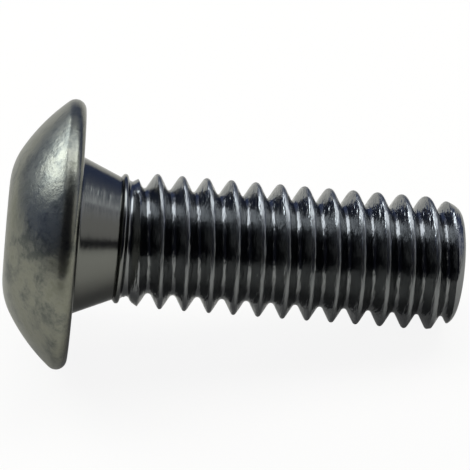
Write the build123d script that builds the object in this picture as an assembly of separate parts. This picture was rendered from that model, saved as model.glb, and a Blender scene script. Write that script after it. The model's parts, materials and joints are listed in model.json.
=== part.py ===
from build123d import *
import os
from math import atan, atan2, ceil, cos, degrees, floor, hypot, radians, sin, sqrt, tan

# A button head screw of bright steel: one headed and thread-rolled piece.
# It is built upright on its head: its own axis is Z, the bearing face of the head is at
# Z = 0, the head lies below that and the shank above. Then it is laid on its side.
# Half sections are drawn in the XZ plane, and each point there is (radius, height).
# All lengths are in millimetres and all angles in degrees.

# Thread: right-handed, 18 turns to the inch, on a 5/16 in screw.
thread_pitch = 25.4 / 18
thread_diameter = 7.7
thread_depth = 0.6134 * thread_pitch
crest_width = thread_pitch / 8
flank_angle = 30.0
thread_roll = 73.4

# Shank: its length under the head, a rounded shoulder and a slightly domed end.
shank_length = 22.2
shoulder_length = 2.25
shoulder_drop = 0.85
end_dome = 0.35

# Start of the thread: an undercut, after which crests rise and roots deepen.
undercut_diameter = 6.6
undercut_end = 2.95
crest_rise_length = 0.9
root_fall_length = 0.65

# Neck: a cone under the head, then a sharp lip where the rolling pushed metal up.
neck_top_diameter = 8.98
neck_end_diameter = 7.12
neck_length = 2.2
lip_diameter = 7.4
lip_rise_length = 0.32
lip_fall_length = 0.28

# Head: a nearly flat crowned face, domed sides and a rounded rim.
head_diameter = 15.4
head_height = 3.85
face_diameter = 7.7
face_crown = 0.25
face_corner_bevel = 0.5
dome_radius = 10.8
rim_radius = 0.6

# Hexagon socket in the face: a 3/16 in key, a chamfered mouth and a drilled bottom.
socket_width = 4.76
socket_depth = 2.6
mouth_diameter = 5.8
mouth_slope = 45.0
drill_half_angle = 59.0

# How far a cutter passes a surface, and how far a joint of two solids is sunk in metal.
cutter_margin = 0.08
sunk_depth = 0.1

# The rim and the shoulder are rounds made of short cones, each at most this many degrees.
round_step = 40.0

# How far the screw is turned about its own axis before it is laid on its side.
lying_roll = 15.0

# Sizes that follow from the ones above.
thread_radius = thread_diameter / 2
root_radius = thread_radius - thread_depth
undercut_radius = undercut_diameter / 2
face_radius = face_diameter / 2
crown_radius = (face_radius**2 + face_crown**2) / (2 * face_crown)
apex_height = -head_height - face_crown
rim_centre = (head_diameter / 2 - rim_radius, -rim_radius)
shoulder_height = shank_length - end_dome - shoulder_length
shoulder_centre = (thread_radius - shoulder_drop, shoulder_height)


def circles_meet(centre_a, radius_a, centre_b, radius_b):
    """Where two circles of one plane meet, on the left of the way from a to b."""
    across = (centre_b[0] - centre_a[0], centre_b[1] - centre_a[1])
    distance = hypot(*across)
    unit = (across[0] / distance, across[1] / distance)
    along = (radius_a**2 - radius_b**2 + distance**2) / (2 * distance)
    aside = sqrt(radius_a**2 - along**2)
    x = centre_a[0] + along * unit[0] - aside * unit[1]
    y = centre_a[1] + along * unit[1] + aside * unit[0]
    return (x, y)


def towards(start, end, length):
    """Point at the given length from start, on the way to end."""
    share = length / hypot(end[0] - start[0], end[1] - start[1])
    return (start[0] + share * (end[0] - start[0]), start[1] + share * (end[1] - start[1]))


def arc_about(centre, radius, start, end):
    """The short arc from start to end of the circle with this centre and radius."""
    middle = ((start[0] + end[0]) / 2, (start[1] + end[1]) / 2)
    return ThreePointArc(start, towards(centre, middle, radius), end)


def round_points(centre, radii, first_angle, last_angle):
    """Points at even angles of a circle or an ellipse about centre, both ends included."""
    steps = ceil((last_angle - first_angle) / round_step)
    points = []
    for step in range(steps + 1):
        angle = radians(first_angle + (last_angle - first_angle) * step / steps)
        points.append((centre[0] + radii[0] * cos(angle), centre[1] + radii[1] * sin(angle)))
    return points


def dome_centre():
    """Centre of the arc that passes the face's corner and touches the rim's round."""
    face_corner = (face_radius, -head_height)
    return circles_meet(face_corner, dome_radius, rim_centre, dome_radius - rim_radius)


def rim_points():
    """The rim's round: from the dome to the widest place, then to the bearing face."""
    centre = dome_centre()
    first_angle = degrees(atan2(rim_centre[1] - centre[1], rim_centre[0] - centre[0]))
    radii = (rim_radius, rim_radius)
    widening = round_points(rim_centre, radii, first_angle, 0)
    return widening[:-1] + round_points(rim_centre, radii, 0, 90)


def shoulder_points():
    """The rounded shoulder, from the crests' size to the end of the shank."""
    return round_points(shoulder_centre, (shoulder_drop, shoulder_length), 0, 90)


def head_and_neck_section():
    """Half section of the head, neck and undercut, down to the core of the thread."""
    crown_centre = (0, apex_height + crown_radius)
    mouth_radius = mouth_diameter / 2
    mouth_height = crown_centre[1] - sqrt(crown_radius**2 - mouth_radius**2)
    mouth_edge = (mouth_radius, mouth_height)
    drill_start = (socket_width / 2 - sunk_depth, apex_height + socket_depth - sunk_depth)
    mouth_depth = (mouth_radius - drill_start[0]) / tan(radians(mouth_slope))
    face_corner = (face_radius, -head_height)
    lip_crest = neck_length + lip_rise_length
    core_end = undercut_end + root_fall_length
    with BuildSketch(Plane.XZ) as section:
        with BuildLine():
            arc_about(crown_centre, crown_radius, mouth_edge, face_corner)
            arc_about(dome_centre(), dome_radius, face_corner, rim_points()[0])
            Polyline(
                *rim_points(),
                (neck_top_diameter / 2, 0),
                (neck_end_diameter / 2, neck_length),
                (lip_diameter / 2, lip_crest),
                (undercut_radius, lip_crest + lip_fall_length),
                (undercut_radius, undercut_end),
                (root_radius - sunk_depth, core_end),
                (0, core_end),
                (0, drill_start[1]),
                drill_start,
                (drill_start[0], mouth_height + mouth_depth),
                mouth_edge,
            )
        make_face()
        corner_in_space = Plane.XZ.from_local_coords(face_corner)
        corner = section.vertices().sort_by_distance(corner_in_space)[0]
        chamfer(corner, face_corner_bevel)
    return section.sketch


def make_head_and_neck():
    """Head, neck and undercut as one revolved solid, with the socket cut in its face."""
    return revolve(head_and_neck_section(), axis=Axis.Z) - make_socket()


def make_shank():
    """The shank at the size of the crests, before its groove is cut."""
    start = undercut_end - sunk_depth
    tip = (0, shank_length)
    with BuildSketch(Plane.XZ) as section:
        with BuildLine():
            Polyline(
                (0, start),
                (undercut_radius - sunk_depth, start),
                (thread_radius, undercut_end + crest_rise_length),
                *shoulder_points(),
            )
            TangentArc(tip, shoulder_points()[-1], tangent=(1, 0))
            Line(tip, (0, start))
        make_face()
    return revolve(section.sketch, axis=Axis.Z)


def groove_section(height):
    """Section of the groove between two crests: a V with a narrow flat bottom."""
    lean = tan(radians(flank_angle))
    half_gap = (thread_pitch - crest_width) / 2
    half_bottom = half_gap - thread_depth * lean
    mouth_radius = thread_radius + cutter_margin
    half_mouth = half_gap + cutter_margin * lean
    with BuildSketch(Plane.XZ) as section:
        with BuildLine():
            Polyline(
                (mouth_radius, -half_mouth),
                (root_radius, -half_bottom),
                (root_radius, half_bottom),
                (mouth_radius, half_mouth),
                close=True,
            )
        make_face()
    return Pos(0, 0, height) * section.sketch


def make_groove_turns():
    """The helical groove, one solid for each turn, from the undercut to past the end."""
    start = thread_pitch * (floor(undercut_end / thread_pitch) - 2 + thread_roll / 360)
    turn_count = ceil((shank_length - start) / thread_pitch) + 1
    turns = []
    for turn in range(turn_count):
        height = start + turn * thread_pitch
        path = Edge.make_helix(thread_pitch, thread_pitch, thread_radius, center=(0, 0, height))
        turns.append(sweep(groove_section(height), path=path, is_frenet=True))
    return turns


def make_socket():
    """The room of the hexagon socket, with the cone that its drill left at the bottom."""
    hexagon = RegularPolygon(socket_width / 2, 6, major_radius=False)
    prism = extrude(Pos(0, 0, apex_height) * hexagon, amount=socket_depth)
    drill_radius = socket_width / 2
    drill_point_height = drill_radius / tan(radians(drill_half_angle))
    at_base = (Align.CENTER, Align.CENTER, Align.MIN)
    drill_point = Cone(drill_radius, 0, drill_point_height, align=at_base)
    return prism + Pos(0, 0, apex_height + socket_depth) * drill_point


def resting_tilt():
    """Slope of the axis when the head's rim and the shoulder both touch the floor."""
    slopes = []
    for rim in rim_points():
        falls = [(rim[0] - low[0]) / (low[1] - rim[1]) for low in shoulder_points()]
        slopes.append(min(falls))
    return degrees(atan(max(slopes)))


def lay_down(screw):
    """Lay the screw on its side, its tip to +X, with its lowest point at Z = 0."""
    tilted = Rot(0, 90 + resting_tilt(), 0) * Rot(0, 0, lying_roll) * screw
    box = tilted.bounding_box()
    return Pos(-box.center().X, -box.center().Y, -box.min.Z) * tilted


def make_screw():
    """The whole screw, as one solid."""
    threaded_shank = make_shank() - make_groove_turns()
    return lay_down(make_head_and_neck() + threaded_shank)


os.makedirs("parts", exist_ok=True)
button_head_screw = make_screw()
export_step(button_head_screw, "parts/button_head_screw.step")
print("resting tilt", round(resting_tilt(), 2), "degrees")
print("volume", round(button_head_screw.volume, 1), "cubic mm")
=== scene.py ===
# %% [markdown]
# # A button head screw of bright zinc-plated steel
#
# The real screw is one piece of steel wire. A press struck the head on its end, two flat
# dies rolled the thread on its shank, and a thin coat of zinc was plated over all of it.
# This lesson makes it as one mesh, in the place that a plain solid of it already has.
# Lengths of the screw are written in millimetres, and MM turns them to metres. The card
# and the lamps are large, so theirs are written in metres.

import json
from math import atan2, ceil, cos, degrees, floor, hypot, pi, radians, sin, sqrt, tan

import bmesh
import bpy
from mathutils import Matrix, Vector


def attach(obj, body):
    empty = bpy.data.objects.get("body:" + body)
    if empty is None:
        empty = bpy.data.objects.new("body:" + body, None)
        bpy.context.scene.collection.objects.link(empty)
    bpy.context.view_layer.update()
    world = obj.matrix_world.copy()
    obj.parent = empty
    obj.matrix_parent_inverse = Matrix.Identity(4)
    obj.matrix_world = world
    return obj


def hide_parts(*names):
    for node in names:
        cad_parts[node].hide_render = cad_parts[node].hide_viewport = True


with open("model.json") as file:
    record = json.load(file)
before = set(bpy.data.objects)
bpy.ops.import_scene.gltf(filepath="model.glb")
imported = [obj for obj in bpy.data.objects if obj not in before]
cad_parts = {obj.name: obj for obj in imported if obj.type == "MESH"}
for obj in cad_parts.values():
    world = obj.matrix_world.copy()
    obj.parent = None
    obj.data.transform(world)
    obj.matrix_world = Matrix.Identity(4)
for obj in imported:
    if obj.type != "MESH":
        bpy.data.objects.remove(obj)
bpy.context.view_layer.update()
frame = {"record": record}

# %% [markdown]
# ## The camera
#
# The screw is small, so it is seen from close by through a long lens. The camera looks
# down on it at about 35 degrees, and it is rolled a little, so that the screw's own axis
# leans in the picture. A lens could be tried out by eye, but its length can be worked out
# in points of the picture, which is 470 wide: the screw's size in points, times its
# distance of about 119 mm, over its size in millimetres.

# %% Place the camera
MM = 0.001
PICTURE_WIDTH = 470
FOCAL_LENGTH_IN_PICTURE_POINTS = 2091.6
SENSOR_WIDTH = 36.0
NEAREST_SEEN = 5.0
CAMERA_PLACE = Vector((1.5536, -97.0751, 75.5870))
CAMERA_TURN = (54.5606, 3.6413, -1.7882)

camera_data = bpy.data.cameras.new("camera")
camera_data.sensor_width = SENSOR_WIDTH
camera_data.lens = SENSOR_WIDTH * FOCAL_LENGTH_IN_PICTURE_POINTS / PICTURE_WIDTH
camera_data.clip_start = NEAREST_SEEN * MM
camera = bpy.data.objects.new("camera", camera_data)
camera.location = CAMERA_PLACE * MM
camera.rotation_euler = [radians(angle) for angle in CAMERA_TURN]
bpy.context.scene.collection.objects.link(camera)
bpy.context.scene.camera = camera
print("lens in mm:", round(camera_data.lens, 1))

# %% [markdown]
# ## The sizes of the screw
#
# A mesh of a turned part starts as a half section: pairs of a radius and a height along
# the axis. Height 0 is the bearing face, the flat ring under the head. The head lies
# below it, and the shank above. The sizes are those of the plain solid, with two small
# changes. The solid leaves out small rounds, such as the groove's root, or makes them of
# short cones, and they are true rounds here. And the head's radius is 0.02 mm less and
# the shank 0.01 mm shorter, so that the true rounds stay inside the solid's box.

# %% Sizes of the thread and the shank
# The thread has 18 turns to the inch. Its standard depth is 0.6134 pitches, and its crest
# is an eighth of a pitch wide. The groove crosses the first column of the mesh at one
# pitch and THREAD_PHASE, in degrees of a turn, above the bearing face.
PITCH = 25.4 / 18
THREAD_RADIUS = 3.85
THREAD_DEPTH = 0.6134 * PITCH
ROOT_RADIUS = THREAD_RADIUS - THREAD_DEPTH
CREST_HALF_WIDTH = PITCH / 16
THREAD_PHASE = 58.4
FIRST_GROOVE_HEIGHT = PITCH * (1 + THREAD_PHASE / 360)

UNDERCUT_RADIUS = 3.3
UNDERCUT_END = 2.95
CREST_RISE = 0.9
ROOT_FALL = 0.65

SHANK_LENGTH = 22.19
SHOULDER_LENGTH = 2.25
SHOULDER_DROP = 0.85
END_DOME = 0.35
SHOULDER_HEIGHT = SHANK_LENGTH - END_DOME - SHOULDER_LENGTH
SHOULDER_RADIUS = THREAD_RADIUS - SHOULDER_DROP
print("root radius:", round(ROOT_RADIUS, 3), "first groove at:", round(FIRST_GROOVE_HEIGHT, 3))

# %% Sizes of the head and the socket
HEAD_RADIUS = 7.68
HEAD_HEIGHT = 3.85
FACE_RADIUS = 3.85
FACE_CROWN = 0.25
FACE_EASE = 0.75
DOME_RADIUS = 10.8
RIM_RADIUS = 0.6
APEX_HEIGHT = -HEAD_HEIGHT - FACE_CROWN
CROWN_RADIUS = (FACE_RADIUS**2 + FACE_CROWN**2) / (2 * FACE_CROWN)

SOCKET_WIDTH = 4.76
SOCKET_DEPTH = 2.6
MOUTH_RADIUS = 2.9
DRILL_HALF_ANGLE = 59
DRILL_POINT_DEPTH = SOCKET_WIDTH / 2 / tan(radians(DRILL_HALF_ANGLE))

# Every ring of the mesh has this many columns, so that all rings join.
COLUMNS = 144
print("height of the head:", round(-APEX_HEIGHT, 2), "mm")

# %% [markdown]
# ## The head
#
# The press left a nearly flat, slightly crowned face, domed sides and a rounded rim. A
# lathe profile is the natural way to make it. It could be a curve with a Screw modifier,
# but rings of points made one by one join the thread's grid and the socket's six sides
# without a seam. Arcs are written as a centre, a radius and two angles, so that each
# round stays a true round.

# %% Helpers for a half section
def arc(centre, radius, first, last, steps):
    """Points of an arc, as (radius, height) pairs. Angles are in degrees."""
    points = []
    for step in range(steps + 1):
        angle = radians(first + (last - first) * step / steps)
        points.append((centre[0] + radius * cos(angle), centre[1] + radius * sin(angle)))
    return points


def eased_corner(before, corner, after, steps):
    """A soft corner: a quadratic curve from before to after, drawn towards corner."""
    points = []
    for step in range(steps + 1):
        t = step / steps
        weights = ((1 - t) ** 2, 2 * t * (1 - t), t**2)
        points.append(tuple(
            weights[0] * before[i] + weights[1] * corner[i] + weights[2] * after[i]
            for i in range(2)
        ))
    return points


def straight(start, end, steps):
    """Points between two points, with the first left out."""
    return [
        tuple(start[i] + (end[i] - start[i]) * step / steps for i in range(2))
        for step in range(1, steps + 1)
    ]


def angle_of(centre, point):
    """Direction from centre to point, in degrees."""
    return degrees(atan2(point[1] - centre[1], point[0] - centre[0]))


print("points of a quarter round in 12 steps:", len(arc((0, 0), RIM_RADIUS, 0, 90, 12)))

# %% Centres of the head's arcs
# The dome's arc passes the corner of the face and touches the round of the rim.
rim_centre = (HEAD_RADIUS - RIM_RADIUS, -RIM_RADIUS)
face_corner = (FACE_RADIUS, -HEAD_HEIGHT)
across = (rim_centre[0] - face_corner[0], rim_centre[1] - face_corner[1])
span = hypot(*across)
inner_radius = DOME_RADIUS - RIM_RADIUS
along = (DOME_RADIUS**2 - inner_radius**2 + span**2) / (2 * span)
aside = sqrt(DOME_RADIUS**2 - along**2)
dome_centre = (
    face_corner[0] + (along * across[0] - aside * across[1]) / span,
    face_corner[1] + (along * across[1] + aside * across[0]) / span,
)
crown_centre = (0.0, APEX_HEIGHT + CROWN_RADIUS)
print("centre of the dome's arc:", [round(part, 3) for part in dome_centre])

# %% Half section of the head
MOUTH_RING_GAP = 0.07
CORNER_STEPS = 8
DOME_STEPS = 18
RIM_STEPS = 12


def crown_height(radius):
    """Height of the crowned face at a radius."""
    return crown_centre[1] - sqrt(CROWN_RADIUS**2 - radius**2)


dome_first = angle_of(dome_centre, face_corner) + degrees(FACE_EASE / DOME_RADIUS)
dome_last = angle_of(dome_centre, rim_centre)
dome_arc = arc(dome_centre, DOME_RADIUS, dome_first, dome_last, DOME_STEPS)
crown_end = (FACE_RADIUS - FACE_EASE, crown_height(FACE_RADIUS - FACE_EASE))

# Three rings close together keep the mouth's edge crisp where smooth shading meets it.
mouth_radii = [MOUTH_RADIUS + MOUTH_RING_GAP * step for step in range(3)]
head_section = [(radius, crown_height(radius)) for radius in mouth_radii]
head_section += eased_corner(crown_end, face_corner, dome_arc[0], CORNER_STEPS)
head_section += dome_arc[1:]
head_section += arc(rim_centre, RIM_RADIUS, dome_last, 90, RIM_STEPS)[1:]
print("points in the head's half section:", len(head_section))

# %% [markdown]
# ## The neck
#
# Under the head the wire was left as a cone. Where the dies began to roll, they pushed a
# little metal up against its end, and that is the sharp lip. It could be left to a bump,
# but it breaks the outline of the screw, so it is made as a small arc. The fillet under
# the head is drawn too: it catches a thin line of light.

# %% Half section of the neck
NECK_TOP_RADIUS = 4.49
NECK_END = (3.50, 2.28)
FILLET = 0.14
FILLET_TAPER = 0.06
LIP_REACH = 3.70
LIP_HEIGHT = 2.52
LIP_RADIUS = 0.16
LIP_ANGLES = (-50, 75)
LIP_FOOT = 2.72

BEARING_STEPS = 8
FILLET_STEPS = 4
CONE_STEPS = 12
LIP_STEPS = 6
FOOT_STEPS = 5

bearing_edge = (HEAD_RADIUS - RIM_RADIUS, 0.0)
fillet_start = (NECK_TOP_RADIUS + FILLET, 0.0)
fillet_end = (NECK_TOP_RADIUS - FILLET_TAPER, FILLET)
lip_centre = (LIP_REACH - LIP_RADIUS, LIP_HEIGHT)

neck_section = straight(bearing_edge, fillet_start, BEARING_STEPS)
neck_section += eased_corner(
    fillet_start, (NECK_TOP_RADIUS, 0.0), fillet_end, FILLET_STEPS
)[1:]
neck_section += straight(fillet_end, NECK_END, CONE_STEPS)
neck_section += arc(lip_centre, LIP_RADIUS, *LIP_ANGLES, LIP_STEPS)
neck_section += eased_corner(
    neck_section[-1], (UNDERCUT_RADIUS, LIP_FOOT), (UNDERCUT_RADIUS, UNDERCUT_END), FOOT_STEPS
)[1:]
print("neck runs from", NECK_TOP_RADIUS, "to", NECK_END[0], "mm in radius")

# %% [markdown]
# ## The rolled thread
#
# A thread could be made with a Screw modifier, but its start and end would be wrong:
# rolled threads rise from the shank and fade out over a rounded end. Here each row of
# points follows the helix at a fixed place of the thread's section, so crests and roots
# stay crisp, and one formula gives the radius at every height and angle. Crests are
# nearly sharp edges, softened by the zinc, and roots are round as the dies make them.

# %% Depth of the groove
# The flanks stand at 60 degrees to each other. The root's round of 0.1443 pitches is the
# one that just fits between them at the standard depth of 0.6134 pitches.
FLANK_ANGLE = 30
FLANK_SLOPE = 1 / tan(radians(FLANK_ANGLE))
ROOT_ROUND = 0.1443 * PITCH
ROOT_REACH = ROOT_ROUND * cos(radians(FLANK_ANGLE))
CREST_SOFTNESS = 0.045


def groove_depth(turns):
    """Depth below the crest, at a distance from a crest's middle given in turns."""
    distance = abs(turns - round(turns)) * PITCH
    to_root = PITCH / 2 - distance
    if to_root < ROOT_REACH:
        return THREAD_DEPTH - ROOT_ROUND + sqrt(ROOT_ROUND**2 - to_root**2)
    flank = (distance - CREST_HALF_WIDTH) * FLANK_SLOPE
    return (flank + sqrt(flank**2 + 4 * CREST_SOFTNESS**2)) / 2


print("depth at a crest and at a root:", round(groove_depth(0), 3), round(groove_depth(0.5), 3))

# %% Where crests and roots begin and end
def share(value, start, length):
    """How far value is along a length that begins at start, from 0 to 1."""
    return min(max((value - start) / length, 0.0), 1.0)


def envelope(height):
    """Radius that the crests reach at a height."""
    if height > SHOULDER_HEIGHT:
        climb = share(height, SHOULDER_HEIGHT, SHOULDER_LENGTH)
        return SHOULDER_RADIUS + SHOULDER_DROP * sqrt(1 - climb**2)
    rise = share(height, UNDERCUT_END, CREST_RISE)
    return UNDERCUT_RADIUS + (THREAD_RADIUS - UNDERCUT_RADIUS) * rise


def core(height):
    """Radius that the roots never go below at a height."""
    fall = share(height, UNDERCUT_END, ROOT_FALL)
    return UNDERCUT_RADIUS - (UNDERCUT_RADIUS - ROOT_RADIUS) * fall


def thread_radius(height, angle):
    """Radius of the threaded shank at a height and an angle about the axis."""
    turns = (height - FIRST_GROOVE_HEIGHT) / PITCH - angle / (2 * pi) - 0.5
    cut = THREAD_RADIUS - groove_depth(turns)
    return max(core(height), min(envelope(height), cut))


print("crests begin at", envelope(UNDERCUT_END), "mm and end at", SHOULDER_RADIUS, "mm")

# %% Rows of the thread's grid
# The places are shares of a pitch from one crest to the next, closest near the crests. A
# row climbs one pitch as it goes round, so it ends where the next turn's row begins.
half_rows = [0.035, 0.062, 0.09, 0.14, 0.21, 0.29, 0.375, 0.42, 0.46]
row_turns = [0.0] + half_rows + [0.5] + [1 - row for row in reversed(half_rows)]
HELIX_END_ANGLE = 60
HELIX_END = SHOULDER_HEIGHT + SHOULDER_LENGTH * sin(radians(HELIX_END_ANGLE))
first_crest = FIRST_GROOVE_HEIGHT + PITCH / 2
first_turn = floor((UNDERCUT_END - first_crest) / PITCH) - 1
last_turn = ceil((HELIX_END - first_crest) / PITCH)

helix_rows = []
for turn in range(first_turn, last_turn + 1):
    for row in row_turns:
        points = []
        for column in range(COLUMNS + 1):
            angle = 2 * pi * column / COLUMNS
            height = first_crest + PITCH * (turn + row + column / COLUMNS)
            height = min(max(height, UNDERCUT_END), HELIX_END)
            points.append((thread_radius(height, angle), angle, height))
        helix_rows.append(points)
print("turns of thread:", last_turn - first_turn + 1, "rows:", len(helix_rows))

# %% [markdown]
# ## The rounded end
#
# The wire was cut and its edge rounded before rolling, so the thread fades on a shoulder,
# and the end face bulges slightly. The helix rows could run on to the middle, but they
# would crowd there. So flat rings take over at 60 degrees up the shoulder's round. They
# still follow the thread's formula, and then they shrink to the middle on a wide sphere.

# %% Rings of the rounded end
SHOULDER_RINGS = 8
END_RINGS = 9

end_rings = []
for step in range(SHOULDER_RINGS + 1):
    climb = radians(HELIX_END_ANGLE + (90 - HELIX_END_ANGLE) * step / SHOULDER_RINGS)
    height = SHOULDER_HEIGHT + SHOULDER_LENGTH * sin(climb)
    end_rings.append([
        (thread_radius(height, 2 * pi * column / COLUMNS), 2 * pi * column / COLUMNS, height)
        for column in range(COLUMNS + 1)
    ])

outer_ring = end_rings[-1]
end_sphere = (SHOULDER_RADIUS**2 + END_DOME**2) / (2 * END_DOME)
for step in range(1, END_RINGS + 1):
    scale = 1 - step / END_RINGS
    height = SHANK_LENGTH - end_sphere + sqrt(end_sphere**2 - (SHOULDER_RADIUS * scale)**2)
    end_rings.append([(point[0] * scale, point[1], height) for point in outer_ring])
print("rings of the end:", len(end_rings))

# %% [markdown]
# ## The hexagon socket
#
# A punch pressed the six sides into a drilled hole, and the hole's chamfered mouth and
# cone-shaped bottom remain. A boolean cut would do, but it leaves long thin faces that
# shade badly. Rings that change from a circle to a hexagon keep every face tidy.

# %% Shapes of the socket's rings
# The screw lies turned by 15 degrees about its own axis, and its hexagon with it.
HEXAGON_TURN = radians(15)
HALF_SIDE = radians(30)

mouth_height = crown_height(MOUTH_RADIUS)
floor_height = APEX_HEIGHT + SOCKET_DEPTH


def hexagon_radius(angle):
    """Distance from the axis to the hexagon's side, in the direction of angle."""
    from_side_middle = ((angle - HEXAGON_TURN) % (2 * HALF_SIDE)) - HALF_SIDE
    return SOCKET_WIDTH / 2 / cos(from_side_middle)


def on_drill_cone(angle, part):
    """A place on the drilled cone, from the hexagon's floor, 0, to its point, 1."""
    return SOCKET_WIDTH / 2 * (1 - part), floor_height + DRILL_POINT_DEPTH * part


def on_side(angle, part):
    """A place on the six sides, from the chamfer, 0, to the floor, 1."""
    top = mouth_height + MOUTH_RADIUS - hexagon_radius(angle)
    return hexagon_radius(angle), top + (floor_height - top) * part


def on_chamfer(angle, part):
    """A place on the mouth's 45 degree chamfer, from its edge, 0, to the hexagon, 1."""
    run = (MOUTH_RADIUS - hexagon_radius(angle)) * part
    return MOUTH_RADIUS - run, mouth_height + run


print("socket is", round(SOCKET_DEPTH + DRILL_POINT_DEPTH, 2), "mm deep at its point")

# %% Rings of the socket
# Rings very near an edge, such as 0.03 or 0.97 of the way, keep its shading crisp.
CONE_PARTS = (1.0, 0.75, 0.5, 0.25, 0.03, 0.0)
SIDE_PARTS = (1.0, 0.97, 0.75, 0.5, 0.25, 0.03, 0.0)
CHAMFER_PARTS = (0.85, 0.5, 0.15, 0.0)
SOCKET_SHAPES = (
    (on_drill_cone, CONE_PARTS),
    (on_side, SIDE_PARTS),
    (on_chamfer, CHAMFER_PARTS),
)

socket_rings = []
for shape, parts in SOCKET_SHAPES:
    for part in parts:
        ring = []
        for column in range(COLUMNS + 1):
            angle = 2 * pi * column / COLUMNS
            radius, height = shape(angle, part)
            ring.append((radius, angle, height))
        socket_rings.append(ring)
print("rings of the socket:", len(socket_rings))

# %% [markdown]
# ## One mesh
#
# All rings and rows have the same number of columns, so they are laid one after another
# and points that fall together are merged. Three objects that touch would be less work,
# but one closed mesh has no seam to shade badly and can be printed as it is.

# %% Join the rings
MERGE_DISTANCE = 0.0005


def turned_rings(section):
    """Full rings from a half section."""
    return [
        [(radius, 2 * pi * column / COLUMNS, height) for column in range(COLUMNS + 1)]
        for radius, height in section
    ]


def add_grid(mesh, rings):
    """Quads between rings that follow one another."""
    rows = [
        [mesh.verts.new((r * cos(a), r * sin(a), z)) for r, a, z in ring]
        for ring in rings
    ]
    for lower, upper in zip(rows, rows[1:]):
        for column in range(COLUMNS):
            corners = (lower[column], lower[column + 1], upper[column + 1], upper[column])
            mesh.faces.new(corners)


screw_mesh = bmesh.new()
add_grid(screw_mesh, socket_rings + turned_rings(head_section + neck_section))
add_grid(screw_mesh, helix_rows)
add_grid(screw_mesh, end_rings)
bmesh.ops.remove_doubles(screw_mesh, verts=screw_mesh.verts, dist=MERGE_DISTANCE)
bmesh.ops.recalc_face_normals(screw_mesh, faces=screw_mesh.faces)
open_edges = [edge for edge in screw_mesh.edges if len(edge.link_faces) != 2]
print("faces:", len(screw_mesh.faces), "open edges:", len(open_edges))

# %% [markdown]
# ## Where it lies
#
# A screw that is put down rests on the rim of its head and the round of its end. Its
# place could be typed in, but the solid's record states where the bearing face lies and
# which way it looks. Taken from there, the mesh can't drift from the solid. It is raised
# by 0.0045 mm, because true rounds are a hair fuller than short cones, and would
# otherwise dip below the floor.

# %% Lay it where the solid lies
# The bearing face looks along the screw to its tip, so its fall is the screw's slope.
# Edges that turn by more than SHARP_ANGLE degrees are shaded as sharp ones.
LIFT = 0.0045
SHARP_ANGLE = 32

bearing = next(mount for mount in frame["record"]["mounts"] if mount["name"] == "bearing_face")
TILT = atan2(-bearing["axis"][2], bearing["axis"][0])
BEARING_CENTRE = Vector((bearing["pos_m"][0], 0.0, bearing["pos_m"][2])) / MM
BEARING_CENTRE.z += LIFT

lying = Matrix.Translation(BEARING_CENTRE) @ Matrix.Rotation(pi / 2 + TILT, 4, "Y")
screw_mesh.transform(Matrix.Scale(MM, 4) @ lying)

mesh_data = bpy.data.meshes.new("button_head_screw_detailed")
screw_mesh.to_mesh(mesh_data)
screw_mesh.free()
mesh_data.shade_smooth()
mesh_data.set_sharp_from_angle(angle=radians(SHARP_ANGLE))
screw = bpy.data.objects.new("button_head_screw_detailed", mesh_data)
bpy.context.scene.collection.objects.link(screw)
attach(screw, "root")
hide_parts("button_head_screw")
print("slope in degrees:", round(degrees(TILT), 2))
print("size in mm:", [round(side * 1000, 3) for side in screw.dimensions])

# %% [markdown]
# ## The finish: bright zinc plate
#
# The real finish is zinc, plated some microns thick on cold-formed steel. It is one metal
# coat, so the shader is fully metallic and keeps the default IOR. A plated metal gives the
# eye three things: sharp dark and bright reflections on the thread, a softer satin on the
# head, and faint cloudy stains where the bath dried. One image of scratches could show
# them, but noise that is placed in millimetres needs no unwrapping and has no seams.

# %% Colours and a node helper
def linear(code):
    """An sRGB hex colour as the linear numbers that Blender uses."""
    parts = [int(code[i:i + 2], 16) / 255 for i in (1, 3, 5)]
    parts = [p / 12.92 if p <= 0.04045 else ((p + 0.055) / 1.055) ** 2.4 for p in parts]
    return (*parts, 1.0)


# A Mix node has several inputs of one name, so they go by number: 0 is the share, 2 and 3
# are the two numbers that it mixes, and 6 and 7 are the two colours.
def add_node(tree, kind, settings=None, values=None, links=None):
    """Adds a node, sets its properties and socket values, and links its inputs."""
    node = tree.nodes.new(kind)
    for name, value in (settings or {}).items():
        setattr(node, name, value)
    for name, value in (values or {}).items():
        node.inputs[name].default_value = value
    for name, output in (links or {}).items():
        tree.links.new(output, node.inputs[name])
    return node


ZINC_PALE = linear("#8B8B81")
ZINC_DEEP = linear("#727368")
STAIN = linear("#3F4443")
NECK_ZINC = linear("#6A6B67")
THREAD_ZINC = linear("#77797A")
print("pale zinc as linear numbers:", [round(part, 3) for part in ZINC_PALE[:3]])

# %% [markdown]
# ## Where the finish changes
#
# Head, neck and thread were formed in different ways, so their marks differ. The screw
# lies on its side, and masks are much easier to write along its own axis. So the place of
# each point is first moved and turned back to the upright screw, and scaled to
# millimetres. Then its height tells head from neck and thread, and its distance from the
# axis tells a crest from a root. Painted masks could do this, but these are exact.

# %% Coordinates of the upright screw, in millimetres
zinc = bpy.data.materials.new("bright_zinc_plated_steel")
zinc.use_nodes = True
tree = zinc.node_tree
tree.nodes.clear()
place = add_node(tree, "ShaderNodeTexCoord").outputs["Object"]
from_bearing = add_node(
    tree, "ShaderNodeVectorMath", settings={"operation": "SUBTRACT"},
    values={1: BEARING_CENTRE * MM}, links={0: place},
).outputs["Vector"]
turned_up = add_node(
    tree, "ShaderNodeVectorRotate", settings={"rotation_type": "Y_AXIS"},
    values={"Angle": -(pi / 2 + TILT)}, links={"Vector": from_bearing},
).outputs["Vector"]
upright = add_node(
    tree, "ShaderNodeVectorMath", settings={"operation": "SCALE"},
    values={"Scale": 1 / MM}, links={0: turned_up},
).outputs["Vector"]
print("the material's lengths are in mm, from the bearing face")

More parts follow.
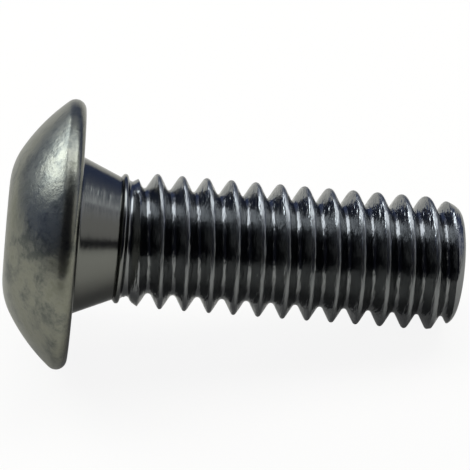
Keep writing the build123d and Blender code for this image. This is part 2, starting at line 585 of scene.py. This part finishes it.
# %% Masks for the shank, the thread and its crests
# Each mask rises from 0 to 1 over a short range, so that no finish ends at a hard line.
# The head's finish gives way at the bearing face, and a crest is the outer 0.15 mm.
BEARING_BLEND = (-0.3, 0.1)
CREST_BLEND = (THREAD_RADIUS - 0.15, THREAD_RADIUS - 0.03)

along_axis = add_node(
    tree, "ShaderNodeSeparateXYZ", links={"Vector": upright},
).outputs["Z"]
on_shank = add_node(
    tree, "ShaderNodeMapRange",
    values={"From Min": BEARING_BLEND[0], "From Max": BEARING_BLEND[1]},
    links={"Value": along_axis},
).outputs["Result"]
on_thread = add_node(
    tree, "ShaderNodeMapRange", values={"From Min": NECK_END[1], "From Max": UNDERCUT_END},
    links={"Value": along_axis},
).outputs["Result"]
across_axis = add_node(
    tree, "ShaderNodeVectorMath", settings={"operation": "MULTIPLY"},
    values={1: Vector((1.0, 1.0, 0.0))}, links={0: upright},
).outputs["Vector"]
reach = add_node(
    tree, "ShaderNodeVectorMath", settings={"operation": "LENGTH"}, links={0: across_axis},
).outputs["Value"]
far_out = add_node(
    tree, "ShaderNodeMapRange",
    values={"From Min": CREST_BLEND[0], "From Max": CREST_BLEND[1]},
    links={"Value": reach},
).outputs["Result"]
on_crest = add_node(
    tree, "ShaderNodeMath", settings={"operation": "MULTIPLY"},
    links={0: far_out, 1: on_thread},
).outputs["Value"]
print("nodes for the masks:", len(tree.nodes))

# %% [markdown]
# ## Clouds and grain
#
# The head kept the satin of the press, and the bath left cloudy stains on it, 1 to 2 mm
# wide. The grain of the plate itself is about 0.02 mm, too fine to show, so it is drawn
# at 0.25 mm, which is a few picture points. The two are mixed into one mottle, which the
# colour and, below, the head's shallow relief both follow, as they do on real plate.

# %% Noise of the head
# The clouds are rough and finely detailed, because a dried stain has a ragged edge.
CLOUD_WIDTH = 1.5
CLOUD_SEED = 11.1
GRAIN_WIDTH = 0.25
GRAIN_SHARE = 0.15

grain = add_node(
    tree, "ShaderNodeTexNoise",
    values={"Scale": 1 / GRAIN_WIDTH, "Detail": 3.0, "Roughness": 0.6},
    links={"Vector": upright},
).outputs["Fac"]
clouds = add_node(
    tree, "ShaderNodeTexNoise", settings={"noise_dimensions": "4D"},
    values={"Scale": 1 / CLOUD_WIDTH, "Detail": 6.0, "Roughness": 0.68, "W": CLOUD_SEED},
    links={"Vector": upright},
).outputs["Fac"]
mottle = add_node(
    tree, "ShaderNodeMix", settings={"data_type": "FLOAT"}, values={0: GRAIN_SHARE},
    links={2: clouds, 3: grain},
).outputs[0]
print("clouds of", CLOUD_WIDTH, "mm and grain of", GRAIN_WIDTH, "mm")

# %% Colour of the plate
# The mottle keeps near 0.5, so narrow ranges about it use both colours to the full. A
# stain is thin, so it never hides more than three quarters of the zinc.
SHADE_RANGE = (0.38, 0.62)
STAIN_RANGE = (0.46, 0.60)
STAIN_SHARE = 0.75

shade = add_node(
    tree, "ShaderNodeMapRange",
    values={"From Min": SHADE_RANGE[0], "From Max": SHADE_RANGE[1]},
    links={"Value": mottle},
).outputs["Result"]
satin = add_node(
    tree, "ShaderNodeMix", settings={"data_type": "RGBA"},
    values={6: ZINC_DEEP, 7: ZINC_PALE}, links={0: shade},
).outputs[2]
stain_share = add_node(
    tree, "ShaderNodeMapRange",
    values={"From Min": STAIN_RANGE[0], "From Max": STAIN_RANGE[1], "To Max": STAIN_SHARE},
    links={"Value": mottle},
).outputs["Result"]
stained = add_node(
    tree, "ShaderNodeMix", settings={"data_type": "RGBA"},
    values={7: STAIN}, links={0: stain_share, 6: satin},
).outputs[2]
shank_zinc = add_node(
    tree, "ShaderNodeMix", settings={"data_type": "RGBA"},
    values={6: NECK_ZINC, 7: THREAD_ZINC}, links={0: on_thread},
).outputs[2]
plate_colour = add_node(
    tree, "ShaderNodeMix", settings={"data_type": "RGBA"},
    links={0: on_shank, 6: stained, 7: shank_zinc},
).outputs[2]
print("colour nodes done, nodes so far:", len(tree.nodes))

# %% [markdown]
# ## Marks of the rolling dies
#
# The dies slid round the shank as they rolled it, so their marks run round it: long in
# that direction and narrow along the axis. Real ones are some hundredths of a millimetre
# wide. They are drawn 0.22 mm wide and 1.4 mm long, so that they show. The press left the
# head slightly uneven instead, so there the relief follows the mottle. A bump node does
# both, because marks this shallow need no geometry. Its distances are far larger than
# the real depth of some microns, as the noise varies by only a part of its range.

# %% Streaks and relief
# The marks deepen over the first turn of the thread. They fade at the rounded end, whose
# face the dies didn't touch.
MARK_LENGTH = 1.4
MARK_WIDTH = 0.22
HEAD_MARK_DEPTH = 0.05
NECK_MARK_DEPTH = 0.01
THREAD_MARK_DEPTH = 0.12
END_MARK_DEPTH = 0.015
END_FADE = (HELIX_END - 0.6, SHANK_LENGTH - END_DOME)

streak_place = add_node(
    tree, "ShaderNodeVectorMath", settings={"operation": "MULTIPLY"},
    values={1: Vector((1 / MARK_LENGTH, 1 / MARK_LENGTH, 1 / MARK_WIDTH))},
    links={0: upright},
).outputs["Vector"]
streaks = add_node(
    tree, "ShaderNodeTexNoise", values={"Scale": 1.0, "Detail": 3.0, "Roughness": 0.55},
    links={"Vector": streak_place},
).outputs["Fac"]
marks = add_node(
    tree, "ShaderNodeMix", settings={"data_type": "FLOAT"},
    links={0: on_shank, 2: mottle, 3: streaks},
).outputs[0]
shank_depth = add_node(
    tree, "ShaderNodeMapRange",
    values={
        "From Min": UNDERCUT_END, "From Max": UNDERCUT_END + PITCH,
        "To Min": NECK_MARK_DEPTH * MM, "To Max": THREAD_MARK_DEPTH * MM,
    },
    links={"Value": along_axis},
).outputs["Result"]
on_end = add_node(
    tree, "ShaderNodeMapRange",
    values={"From Min": END_FADE[0], "From Max": END_FADE[1]},
    links={"Value": along_axis},
).outputs["Result"]
threaded_depth = add_node(
    tree, "ShaderNodeMix", settings={"data_type": "FLOAT"},
    values={3: END_MARK_DEPTH * MM}, links={0: on_end, 2: shank_depth},
).outputs[0]
mark_depth = add_node(
    tree, "ShaderNodeMix", settings={"data_type": "FLOAT"},
    values={2: HEAD_MARK_DEPTH * MM}, links={0: on_shank, 3: threaded_depth},
).outputs[0]
relief = add_node(
    tree, "ShaderNodeBump", values={"Strength": 1.0},
    links={"Height": marks, "Distance": mark_depth},
).outputs["Normal"]
print("marks are", MARK_LENGTH, "by", MARK_WIDTH, "mm")

# %% [markdown]
# ## Roughness and the shader
#
# A polished metal has a roughness near 0.1 and a plated one 0.15 to 0.3. The head is
# satin, at 0.29. The flanks and roots of the thread were pressed smooth, at 0.17, and the
# crests, which the dies hardly touch, are dull again, at 0.30. A metal's specular tint is
# the colour of what it reflects at a grazing angle, and a grey there keeps its edges calm.
# One roughness for all would be simpler, but then the thread would lose its sparkle or
# the head its satin.

# %% Shader
HEAD_ROUGHNESS = 0.29
FLANK_ROUGHNESS = 0.17
CREST_ROUGHNESS = 0.30
GRAZING_GREY = (0.7, 0.7, 0.7, 1.0)

shank_roughness = add_node(
    tree, "ShaderNodeMapRange",
    values={"To Min": FLANK_ROUGHNESS, "To Max": CREST_ROUGHNESS},
    links={"Value": on_crest},
).outputs["Result"]
roughness = add_node(
    tree, "ShaderNodeMix", settings={"data_type": "FLOAT"}, values={2: HEAD_ROUGHNESS},
    links={0: on_shank, 3: shank_roughness},
).outputs[0]
shader = add_node(
    tree, "ShaderNodeBsdfPrincipled",
    values={"Metallic": 1.0, "Specular Tint": GRAZING_GREY},
    links={"Base Color": plate_colour, "Roughness": roughness, "Normal": relief},
).outputs["BSDF"]
add_node(tree, "ShaderNodeOutputMaterial", links={"Surface": shader})
mesh_data.materials.append(zinc)
print("material:", zinc.name, "with", len(tree.nodes), "nodes")

# %% [markdown]
# ## The floor
#
# The screw lies on a sheet of matt card that is white to the eye. Card lit by soft lamps
# comes out a little grey, and a stronger lamp would spoil the metal. So nine tenths of
# what the camera sees of the card is an even glow, and reflections get far less of it:
# the picture's ground is white, a faint soft shadow stays, and the metal still shows the
# dim warm card below it.

# %% White card
CARD_SIZE = 4.0
GLOW_SEEN = 0.9
GLOW_REFLECTED = 0.15

card_material = bpy.data.materials.new("matt_white_card")
card_material.use_nodes = True
card_tree = card_material.node_tree
card_tree.nodes.clear()
card = add_node(
    card_tree, "ShaderNodeBsdfPrincipled",
    values={"Base Color": linear("#F7F2E4"), "Roughness": 0.9, "Specular IOR Level": 0.1},
).outputs["BSDF"]
glow = add_node(
    card_tree, "ShaderNodeEmission", values={"Color": linear("#FFFFFF"), "Strength": 1.0},
).outputs["Emission"]
ray = add_node(card_tree, "ShaderNodeLightPath").outputs
reflected = add_node(
    card_tree, "ShaderNodeMath", settings={"operation": "MAXIMUM"},
    links={0: ray["Is Glossy Ray"], 1: ray["Is Transmission Ray"]},
).outputs["Value"]
reflected_share = add_node(
    card_tree, "ShaderNodeMath", settings={"operation": "MULTIPLY"},
    values={1: GLOW_REFLECTED}, links={0: reflected},
).outputs["Value"]
seen_share = add_node(
    card_tree, "ShaderNodeMath", settings={"operation": "MULTIPLY"},
    values={1: GLOW_SEEN}, links={0: ray["Is Camera Ray"]},
).outputs["Value"]
glow_share = add_node(
    card_tree, "ShaderNodeMath", settings={"operation": "MAXIMUM"},
    links={0: seen_share, 1: reflected_share},
).outputs["Value"]
card_or_glow = add_node(
    card_tree, "ShaderNodeMixShader", links={0: glow_share, 1: card, 2: glow},
).outputs["Shader"]
add_node(card_tree, "ShaderNodeOutputMaterial", links={"Surface": card_or_glow})
print("card nodes:", len(card_tree.nodes))

# %% Lay the card
half = CARD_SIZE / 2
card_corners = [(-half, -half, 0), (half, -half, 0), (half, half, 0), (-half, half, 0)]
card_mesh = bpy.data.meshes.new("floor")
card_mesh.from_pydata(card_corners, [], [(0, 1, 2, 3)])
card_mesh.materials.append(card_material)
floor_card = bpy.data.objects.new("floor", card_mesh)
bpy.context.scene.collection.objects.link(floor_card)
print("card is", CARD_SIZE, "m wide")

# %% [markdown]
# ## The room
#
# Metal shows the room around it more than its own colour. A small light tent is pale
# above, dim and blue near the table, and dark where the camera looks in. An image of a
# room could light the scene, but two mixes by direction are enough: one by height, and
# one that darkens the camera's side.

# %% World
# A direction has a length of 1. Its Z is 0 at the horizon and 1 overhead, and its Y is -1
# straight towards the camera's side.
WALL_LOW = linear("#5D6C95")
WALL_HIGH = linear("#AEB3BC")
CAMERA_SIDE = linear("#21222C")
HEIGHT_BLEND = (0.2, 0.9)
SIDE_BLEND = (-0.35, 0.15)

world = bpy.data.worlds.new("light_tent")
world.use_nodes = True
sky = world.node_tree
direction = add_node(sky, "ShaderNodeTexCoord").outputs["Generated"]
sides = add_node(sky, "ShaderNodeSeparateXYZ", links={"Vector": direction}).outputs
height_share = add_node(
    sky, "ShaderNodeMapRange", settings={"interpolation_type": "SMOOTHSTEP"},
    values={"From Min": HEIGHT_BLEND[0], "From Max": HEIGHT_BLEND[1]},
    links={"Value": sides["Z"]},
).outputs["Result"]
wall = add_node(
    sky, "ShaderNodeMix", settings={"data_type": "RGBA"},
    values={6: WALL_LOW, 7: WALL_HIGH}, links={0: height_share},
).outputs[2]
away_from_camera = add_node(
    sky, "ShaderNodeMapRange", settings={"interpolation_type": "SMOOTHSTEP"},
    values={"From Min": SIDE_BLEND[0], "From Max": SIDE_BLEND[1]},
    links={"Value": sides["Y"]},
).outputs["Result"]
room = add_node(
    sky, "ShaderNodeMix", settings={"data_type": "RGBA"},
    values={6: CAMERA_SIDE}, links={0: away_from_camera, 7: wall},
).outputs[2]
sky.links.new(room, sky.nodes["Background"].inputs["Color"])
bpy.context.scene.world = world
bpy.context.scene.view_settings.view_transform = "Standard"
print("world nodes:", len(sky.nodes))

# %% [markdown]
# ## The lamps
#
# Four soft boxes stand round the screw. The left one gives the head its bright patch, the
# wide top one lights the upper flanks of the thread, and two dim ones at the right lift
# the neck and the end. Area lamps with large faces are used, because a point lamp would
# show in bright metal as a hard spot. Each lamp is given by the direction that it shines
# from, its size in metres and the brightness of its face, where 1 is as bright as white.

# %% Soft boxes
LAMP_DISTANCE = 0.45
AIM = Vector((0.0, 0.0, 6.0)) * MM


def add_soft_box(name, azimuth, elevation, size, brightness, tint):
    """An area lamp that looks at the screw. Azimuth 0 is +Y, and 90 is +X."""
    data = bpy.data.lights.new(name, "AREA")
    data.shape = "RECTANGLE"
    data.size, data.size_y = size
    data.energy = brightness * pi * size[0] * size[1]
    data.color = linear(tint)[:3]
    lamp = bpy.data.objects.new(name, data)
    turn, climb = radians(azimuth), radians(elevation)
    away = Vector((sin(turn) * cos(climb), cos(turn) * cos(climb), sin(climb)))
    lamp.location = AIM + away * LAMP_DISTANCE
    lamp.rotation_euler = away.to_track_quat("Z", "Y").to_euler()
    bpy.context.scene.collection.objects.link(lamp)
    print(name, "gives", round(data.energy, 2), "W")


add_soft_box("left_key", -50, 27, (0.32, 0.09), 9.0, "#F6FCFF")
add_soft_box("top_panel", 5, 66, (0.75, 0.30), 3.0, "#F6FAFF")
add_soft_box("right_panel", 60, 48, (0.30, 0.14), 1.2, "#F9FDFF")
add_soft_box("front_right_panel", 98, 24, (0.50, 0.22), 0.6, "#FFFEFC")
